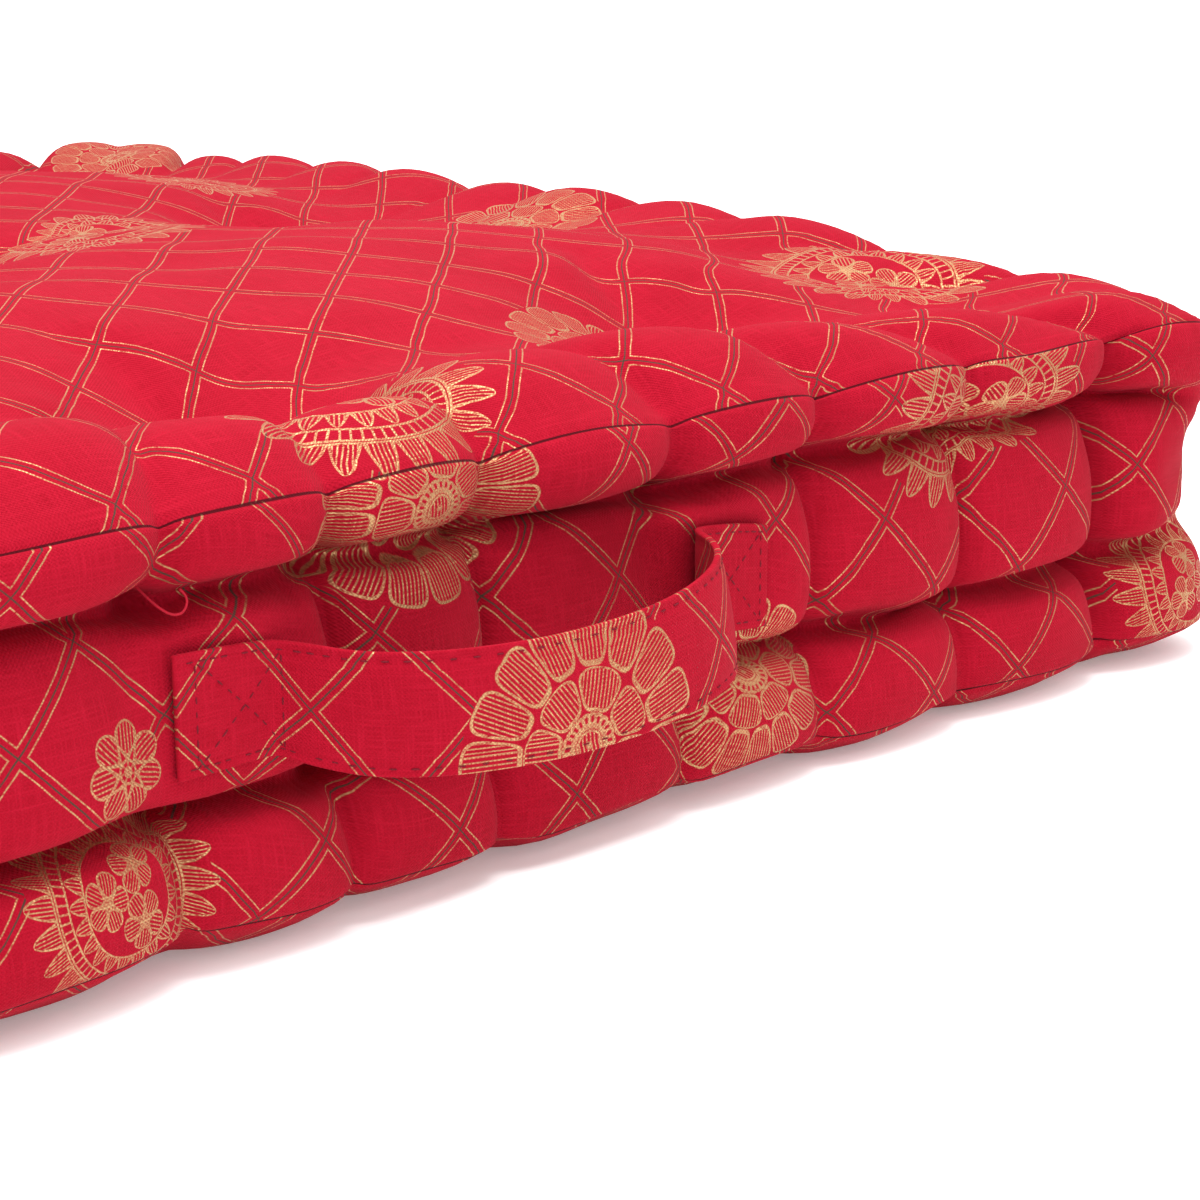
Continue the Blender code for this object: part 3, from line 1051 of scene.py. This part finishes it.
def lattice(u, v):
    """The printed lattice: gold outlines of its diamonds, and a brown line between them."""
    down = u / LATTICE_WIDE + v / LATTICE_HIGH
    up = u / LATTICE_WIDE - v / LATTICE_HIGH
    from_line = [abs((way + 0.5).fraction() - 0.5) * LATTICE_PITCH for way in (down, up)]
    nearer = from_line[0].lower(from_line[1])
    return drawn_line(nearer - OUTLINE_FROM_LINE, LATTICE_GOLD), drawn_line(nearer, BROWN_LINE)


def printed_cotton(name, motif=None):
    """Red plain-weave cotton, printed in gold and brown with the lattice and, on some faces, a motif."""
    material = bpy.data.materials.new(name)
    material.use_nodes = True
    tree = material.node_tree
    shader = tree.nodes["Principled BSDF"]
    cloth_place = uv_map(tree, "cloth")
    u, v = parts(tree, cloth_place)

    wobble_x, wobble_y = parts(tree, noise_node(tree, cloth_place, PRINT_WOBBLE_SCALE).outputs["Color"])
    wobble_x, wobble_y = (wobble_x - 0.5) * PRINT_WOBBLE, (wobble_y - 0.5) * PRINT_WOBBLE
    gold, brown = lattice(u + wobble_x, v + wobble_y)
    if motif:
        motif_u, motif_v = parts(tree, uv_map(tree, "motif"))
        marks, ground = motif(motif_u + wobble_x, motif_v + wobble_y)
        gold = (gold * (1 - ground)).higher(marks)
        brown = brown * (1 - ground)

    warp = (u * (math.pi / THREAD_PITCH)).math("SINE")
    weft = (v * (math.pi / THREAD_PITCH)).math("SINE")
    weave = warp * weft
    threads = noise_field(tree, stretched(tree, cloth_place, SLUB_SCALE))
    threads = threads.higher(noise_field(tree, stretched(tree, cloth_place, SLUB_SCALE_ACROSS)))
    mottle = noise_field(tree, cloth_place, MOTTLE_SCALE, detail=1.0)

    # The print covers best on the threads that stand up. The red is palest on slubs and in a mottle, and
    # the weave is painted paler on its crowns and darker between its threads, as painted light and
    # painted shade
    gold = gold * (threads * 1.9 + weave * 0.25 - 0.35).clamped()
    brown = brown * (threads * 1.2 + 0.3).clamped()
    tone = (threads * 1.6 + mottle * 0.7 + weave * 0.16 - 0.80).clamped()
    colour = mixed(tree, mixed(tree, RED, RED_PALE_AND_LIT, tone), BROWN, brown)
    colour = mixed(tree, colour, GOLD, gold)
    shade = drawn_line(mesh_field(tree, "from_seam"), SEAM_LINE)
    colour = mixed(tree, colour, SEAM_SHADE, shade * SEAM_COVER)
    tree.links.new(colour, shader.inputs["Base Color"])
    tree.links.new((gold * GOLD_METALLIC).socket, shader.inputs["Metallic"])
    tree.links.new((COTTON_ROUGHNESS - gold * GOLD_SMOOTHER).socket, shader.inputs["Roughness"])
    shader.inputs["Sheen Weight"].default_value = 0.035
    shader.inputs["Sheen Roughness"].default_value = 0.45
    shader.inputs["Sheen Tint"].default_value = (1.0, 0.45, 0.50, 1.0)
    shader.inputs["Specular IOR Level"].default_value = 0.08

    folds = abs(noise_field(tree, stretched(tree, cloth_place, GATHER_SCALE)) - 0.5)
    height = weave + folds * mesh_field(tree, "gathers") * GATHER_FOLDS
    raise_surface(tree, height, WEAVE_BUMP, WEAVE_RELIEF)
    return material


MOTIF_DRAWINGS = {"none": None, "rosette": rosette, "wreath": wreath, "crescent": crescent, "bud": bud}
for kind in MOTIF_KINDS:
    cushion.data.materials.append(printed_cotton(f"red cotton, {kind}", MOTIF_DRAWINGS[kind]))
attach(cushion, "root")
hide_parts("cushion")


# The carrying handle
# A strip of the same printed cotton, folded double and topstitched along both edges. Its ends are sewn
# flat on the boxing, each with a stitched box and cross, and it bows out between them.
STRAP_PATH = np.array((
    # along the side, upper edge's out and height, lower edge's out and height
    (-0.0985, 0.0019, 0.0824, 0.0019, 0.0515),
    (-0.0885, 0.0019, 0.0820, 0.0019, 0.0516),
    (-0.0785, 0.0019, 0.0814, 0.0019, 0.0518),
    (-0.0700, 0.0020, 0.0805, 0.0024, 0.0516),
    (-0.0640, 0.0070, 0.0795, 0.0095, 0.0492),
    (-0.0540, 0.0165, 0.0775, 0.0190, 0.0466),
    (-0.0390, 0.0258, 0.0766, 0.0288, 0.0457),
    (-0.0200, 0.0320, 0.0762, 0.0355, 0.0454),
    (-0.0020, 0.0345, 0.0762, 0.0385, 0.0455),
    (0.0180, 0.0355, 0.0772, 0.0400, 0.0464),
    (0.0360, 0.0335, 0.0788, 0.0390, 0.0480),
    (0.0510, 0.0285, 0.0806, 0.0350, 0.0497),
    (0.0615, 0.0215, 0.0820, 0.0285, 0.0508),
    (0.0680, 0.0130, 0.0828, 0.0190, 0.0515),
    (0.0715, 0.0055, 0.0830, 0.0085, 0.0517),
    (0.0750, 0.0019, 0.0830, 0.0019, 0.0516),
    (0.0845, 0.0019, 0.0822, 0.0019, 0.0508),
    (0.0940, 0.0019, 0.0808, 0.0019, 0.0499),
    (0.1020, 0.0019, 0.0792, 0.0019, 0.0493),
))
# The shares of the strap's width where its cloth has a line of points, two of them topstitched
STRAP_SHARES = (0.0, 0.03, 0.08, 0.13, 0.25, 0.38, 0.5, 0.62, 0.75, 0.87, 0.92, 0.97, 1.0)
STRAP_THICKNESS = 0.0020
STRAP_CURL = 0.0012
STRAP_SEWN_OUT = 0.0020
STRAP_FREE_OUT = 0.0200
STRAP_STEP = 0.25
LAST_STEP = len(STRAP_PATH) - 1
TOPSTITCH_SHARES = (0.08, 0.92)
STRAP_PINCH = 0.55
STRAP_CLOTH_START = (0.010, -0.004)
STRAP_MOTIFS = (("strap", (0.1185, -0.0331), "rosette", 8.0, (1.0, 1.0)),)
# No seam shows on the strap, and its stitches hardly gather it
STRAP_MARKS = {"from_seam": 0.01, "gathers": 0.04}


def strap_point(step, share):
    """The middle of the strap's thickness, at a step along its path and a share across its width."""
    along, upper_out, upper_height, lower_out, lower_height = curve_between(STRAP_PATH, step)
    out = upper_out + (lower_out - upper_out) * share
    free = smooth((out - STRAP_SEWN_OUT) / (STRAP_FREE_OUT - STRAP_SEWN_OUT))
    out += STRAP_CURL * free * (1 - (2 * share - 1) ** 2)
    height = upper_height + (lower_height - upper_height) * share
    return Vector((along, CENTRE_Y - (HALF - PATCH_SET_BACK + out), height))


def make_strap():
    """The strap's piece, and the length and width of the folded strip that it is made of."""
    steps = round(LAST_STEP / STRAP_STEP)
    ribbon = bmesh.new()
    bmesh.ops.create_grid(ribbon, x_segments=steps, y_segments=len(STRAP_SHARES) - 1, size=1.0)
    spots, thick = [], []
    for vertex in ribbon.verts:
        step = round((vertex.co.x + 1) / 2 * steps)
        column = round((1 - vertex.co.y) / 2 * (len(STRAP_SHARES) - 1))
        spots.append((step, column))
        thick.append(STRAP_PINCH if STRAP_SHARES[column] in TOPSTITCH_SHARES else 1.0)
        vertex.co = strap_point(step * STRAP_STEP, STRAP_SHARES[column])
    bmesh.ops.recalc_face_normals(ribbon, faces=ribbon.faces)
    mesh = bpy.data.meshes.new("strap")
    ribbon.to_mesh(mesh)
    ribbon.free()
    mesh.shade_smooth()
    middles = [strap_point(step * STRAP_STEP, 0.5) for step in range(steps + 1)]
    length = travelled([tuple(point) for point in middles])
    width = (strap_point(0, 0.0) - strap_point(0, 1.0)).length
    start_along, start_down = STRAP_CLOTH_START
    flat = []
    for polygon in mesh.polygons:
        for index in polygon.vertices:
            step, column = spots[index]
            flat.append((start_along + length[step], start_down - STRAP_SHARES[column] * width))
    lay_cloth(mesh, flat, ["strap"] * len(mesh.polygons), STRAP_MOTIFS)
    strap = bpy.data.objects.new("handle_strap", mesh)
    bpy.context.scene.collection.objects.link(strap)
    group = strap.vertex_groups.new(name="thickness")
    for index, weight in enumerate(thick):
        group.add([index], weight, "REPLACE")
    wall = strap.modifiers.new("two layers", "SOLIDIFY")
    wall.thickness = STRAP_THICKNESS
    wall.offset = 0.0
    wall.vertex_group = group.name
    rounder = strap.modifiers.new("finer", "SUBSURF")
    rounder.levels = 2
    rounder.render_levels = 2
    rounder.uv_smooth = "NONE"
    return strap, length[-1], width


strap, strap_length, strap_width = make_strap()
for name, value in STRAP_MARKS.items():
    strap_mark = strap.data.attributes.new(name, "FLOAT", "POINT")
    strap_mark.data.foreach_set("value", [value] * len(strap.data.vertices))
for kind in MOTIF_KINDS[:2]:
    strap.data.materials.append(printed_cotton(f"strap cotton, {kind}", MOTIF_DRAWINGS[kind]))
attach(strap, "root")
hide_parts("handle")


# The thread
# Dark red machine stitches run along both edges of the handle and in a box and cross at each of its
# ends. Thicker thread, pulled tight by hand, holds each tuck, and two ends of bright red are left loose.
STITCH_PITCH = 0.0036
# Each thread's stitch length and width
MACHINE_THREAD = (0.0019, 0.00042)
HAND_THREAD = (0.0075, 0.00090)
THREAD_UNEVEN = 0.18
THREAD_SEED = 5
THREAD_RED = (0.190, 0.0050, 0.0160, 1.0)
LOOSE_RED = (0.480, 0.0060, 0.0250, 1.0)
THREAD_SHADE = 0.45
FIBRE_SCALE = 2500.0
FIBRE_BUMP = 0.5
FIBRE_RELIEF = 0.00008


def thread_material(name, colour):
    material = bpy.data.materials.new(name)
    material.use_nodes = True
    tree = material.node_tree
    shader = tree.nodes["Principled BSDF"]
    place = tree.nodes.new("ShaderNodeTexCoord")
    fibres = noise_field(tree, place.outputs["Object"], FIBRE_SCALE, detail=1.0)
    darker = (*(channel * THREAD_SHADE for channel in colour[:3]), 1.0)
    tree.links.new(mixed(tree, darker, colour, fibres), shader.inputs["Base Color"])
    shader.inputs["Roughness"].default_value = 0.75
    shader.inputs["Specular IOR Level"].default_value = 0.2
    raise_surface(tree, fibres, FIBRE_BUMP, FIBRE_RELIEF)
    return material


def stitch_tree():
    """Lays a stitch at each point, along the point's own direction, each a little uneven."""
    tree = bpy.data.node_groups.new("stitches", "GeometryNodeTree")
    face = tree.interface
    face.new_socket("Points", in_out="INPUT", socket_type="NodeSocketGeometry")
    for name, kind, value in (
        ("Stitch Length", "NodeSocketFloat", MACHINE_THREAD[0]),
        ("Thread Width", "NodeSocketFloat", MACHINE_THREAD[1]),
        ("Unevenness", "NodeSocketFloat", THREAD_UNEVEN),
        ("Seed", "NodeSocketInt", THREAD_SEED),
    ):
        face.new_socket(name, in_out="INPUT", socket_type=kind).default_value = value
    face.new_socket("Thread", in_out="INPUT", socket_type="NodeSocketMaterial")
    face.new_socket("Stitches", in_out="OUTPUT", socket_type="NodeSocketGeometry")
    add, link = tree.nodes.new, tree.links.new
    given, result = add("NodeGroupInput"), add("NodeGroupOutput")
    stitch = add("GeometryNodeMeshUVSphere")
    stitch.inputs["Segments"].default_value = 8
    stitch.inputs["Rings"].default_value = 6
    stitch.inputs["Radius"].default_value = 0.5
    way = add("GeometryNodeInputNamedAttribute")
    way.data_type = "FLOAT_VECTOR"
    way.inputs["Name"].default_value = "thread_way"
    turn = add("FunctionNodeAlignRotationToVector")
    turn.axis = "Z"
    link(way.outputs["Attribute"], turn.inputs["Vector"])
    sizes = add("ShaderNodeCombineXYZ")
    link(given.outputs["Thread Width"], sizes.inputs["X"])
    link(given.outputs["Thread Width"], sizes.inputs["Y"])
    link(given.outputs["Stitch Length"], sizes.inputs["Z"])
    least, most = add("ShaderNodeMath"), add("ShaderNodeMath")
    least.operation, most.operation = "SUBTRACT", "ADD"
    least.inputs[0].default_value = most.inputs[0].default_value = 1.0
    chance = add("FunctionNodeRandomValue")
    chance.data_type = "FLOAT"
    link(given.outputs["Unevenness"], least.inputs[1])
    link(given.outputs["Unevenness"], most.inputs[1])
    low = next(s for s in chance.inputs if s.name == "Min" and s.type == "VALUE" and s.enabled)
    high = next(s for s in chance.inputs if s.name == "Max" and s.type == "VALUE" and s.enabled)
    link(least.outputs[0], low)
    link(most.outputs[0], high)
    link(given.outputs["Seed"], chance.inputs["Seed"])
    uneven = next(s for s in chance.outputs if s.type == "VALUE" and s.enabled)
    scale = add("ShaderNodeVectorMath")
    scale.operation = "SCALE"
    link(sizes.outputs["Vector"], scale.inputs[0])
    link(uneven, scale.inputs["Scale"])
    lay = add("GeometryNodeInstanceOnPoints")
    link(given.outputs["Points"], lay.inputs["Points"])
    link(stitch.outputs["Mesh"], lay.inputs["Instance"])
    link(turn.outputs["Rotation"], lay.inputs["Rotation"])
    link(scale.outputs["Vector"], lay.inputs["Scale"])
    real = add("GeometryNodeRealizeInstances")
    link(lay.outputs["Instances"], real.inputs["Geometry"])
    finish = add("GeometryNodeSetMaterial")
    link(real.outputs["Geometry"], finish.inputs["Geometry"])
    link(given.outputs["Thread"], finish.inputs["Material"])
    link(finish.outputs["Geometry"], result.inputs["Stitches"])
    return tree


def sewn(name, tree, points, ways, thread, material):
    """Stitches at points as a plain mesh piece."""
    marks = bpy.data.meshes.new(f"{name} marks")
    marks.from_pydata([tuple(point) for point in points], [], [])
    way = marks.attributes.new("thread_way", "FLOAT_VECTOR", "POINT")
    way.data.foreach_set("vector", np.array([tuple(w) for w in ways], dtype=np.float32).ravel())
    holder = bpy.data.objects.new(f"{name} marks", marks)
    bpy.context.scene.collection.objects.link(holder)
    stitching = holder.modifiers.new("stitches", "NODES")
    stitching.node_group = tree
    values = {"Stitch Length": thread[0], "Thread Width": thread[1], "Thread": material}
    for socket in tree.interface.items_tree:
        if socket.name in values:
            stitching[socket.identifier] = values[socket.name]
    graph = bpy.context.evaluated_depsgraph_get()
    mesh = bpy.data.meshes.new_from_object(holder.evaluated_get(graph))
    bpy.data.objects.remove(holder, do_unlink=True)
    mesh.name = name
    mesh.shade_smooth()
    piece = bpy.data.objects.new(name, mesh)
    bpy.context.scene.collection.objects.link(piece)
    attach(piece, "root")


# How far the thread lies from the middle of the strap, in thicknesses, where its stitches pinch it
# and elsewhere, and how near to a topstitched line it is pinched
PINCHED_FACE = 0.385
FULL_FACE = 0.52
PINCH_REACH = 0.03
BESIDE_STEP = 0.02
BESIDE_SHARE = 0.01
# The stitching, in steps along the strap's path and shares of its width
STITCHED_SHARES = (0.075, 0.925)
STITCHED_STEPS = (0.2, 17.8)
SEWN_BOXES = ((0.6, 3.25), (14.9, 17.5))
LINE_PARTS = 60


def strap_face(step, share):
    """A point where thread lies on the strap's outer face."""
    before, after = max(0.0, step - BESIDE_STEP), min(LAST_STEP, step + BESIDE_STEP)
    along = strap_point(after, share) - strap_point(before, share)
    across = strap_point(step, share + BESIDE_SHARE) - strap_point(step, share - BESIDE_SHARE)
    outwards = along.cross(across).normalized()
    if outwards.y > 0:
        outwards.negate()
    pinched = min(abs(share - edge) for edge in TOPSTITCH_SHARES) < PINCH_REACH
    face = PINCHED_FACE if pinched else FULL_FACE
    return strap_point(step, share) + outwards * (STRAP_THICKNESS * face)


def stitch_line(start, end):
    """Stitches at an even pitch between two places on the strap, each a step and a share."""
    fine = []
    for part in np.linspace(0.0, 1.0, LINE_PARTS):
        step = start[0] + (end[0] - start[0]) * part
        share = start[1] + (end[1] - start[1]) * part
        fine.append(strap_face(step, share))
    lengths = travelled([tuple(point) for point in fine])
    spots, ways = [], []
    for place in np.arange(STITCH_PITCH / 2, lengths[-1], STITCH_PITCH):
        index = min(len(fine) - 2, int(np.searchsorted(lengths, place)))
        way = fine[index + 1] - fine[index - 1]
        if way.length > 1e-6:
            spots.append(fine[index])
            ways.append(way.normalized())
    return spots, ways


# A line of stitches along each edge, and at each end two ends of a box and the cross inside it
upper, lower = STITCHED_SHARES
machine_lines = [((STITCHED_STEPS[0], share), (STITCHED_STEPS[1], share)) for share in STITCHED_SHARES]
for left, right in SEWN_BOXES:
    for start, end in ((left, left), (right, right), (left, right), (right, left)):
        machine_lines.append(((start, upper), (end, lower)))
machine_points, machine_ways = [], []
for start, end in machine_lines:
    spots, ways = stitch_line(start, end)
    machine_points += spots
    machine_ways += ways

stitches = stitch_tree()
dark_thread = thread_material("dark red thread", THREAD_RED)
sewn("handle_stitches", stitches, machine_points, machine_ways, MACHINE_THREAD, dark_thread)

hand_points, hand_ways = [], []
for side in TUCKS:
    for tuck in range(1, PUFFS):
        for row in (UPPER_STITCHES, LOWER_STITCHES):
            hand_points.append(thread_point(side, tuck, row))
            hand_ways.append((0.0, 0.0, 1.0))
sewn("tuck_stitches", stitches, hand_points, hand_ways, HAND_THREAD, dark_thread)

# The loose ends, each a short curl that starts in the front's boxing
LOOSE_ENDS = (
    # place counted in puffs, row of the boxing, then the curl's turns away from there
    (3.86, 2.1, (
        (0.000, 0.004, 0.002),
        (0.002, -0.004, -0.004),
        (0.007, -0.006, -0.006),
        (0.010, -0.005, -0.002),
        (0.008, -0.004, 0.000),
    )),
    (3.25, 8.6, (
        (0.000, 0.004, 0.002),
        (-0.004, -0.007, 0.002),
        (-0.009, -0.010, 0.000),
        (-0.015, -0.010, -0.004),
    )),
)
LOOSE_THREAD_RADIUS = 0.00032


def loose_end(index, puff, row, turns, material):
    """A loose end of thread, as a plain mesh piece."""
    line = bpy.data.curves.new(f"loose thread {index}", "CURVE")
    line.dimensions = "3D"
    line.bevel_depth = LOOSE_THREAD_RADIUS
    line.bevel_resolution = 2
    line.resolution_u = 6
    line.use_fill_caps = True
    spline = line.splines.new("NURBS")
    spline.points.add(len(turns) - 1)
    spline.order_u = 3
    spline.use_endpoint_u = True
    foot = thread_point("front", puff, row)
    for point, turn in zip(spline.points, turns):
        point.co = (*(foot + Vector(turn)), 1.0)
    line.materials.append(material)
    holder = bpy.data.objects.new(f"loose thread {index}", line)
    bpy.context.scene.collection.objects.link(holder)
    graph = bpy.context.evaluated_depsgraph_get()
    mesh = bpy.data.meshes.new_from_object(holder.evaluated_get(graph))
    bpy.data.objects.remove(holder, do_unlink=True)
    mesh.shade_smooth()
    piece = bpy.data.objects.new(f"loose_thread_{index}", mesh)
    bpy.context.scene.collection.objects.link(piece)
    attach(piece, "root")


bright_thread = thread_material("bright red thread", LOOSE_RED)
for index, (puff, row, turns) in enumerate(LOOSE_ENDS):
    loose_end(index, puff, row, turns, bright_thread)
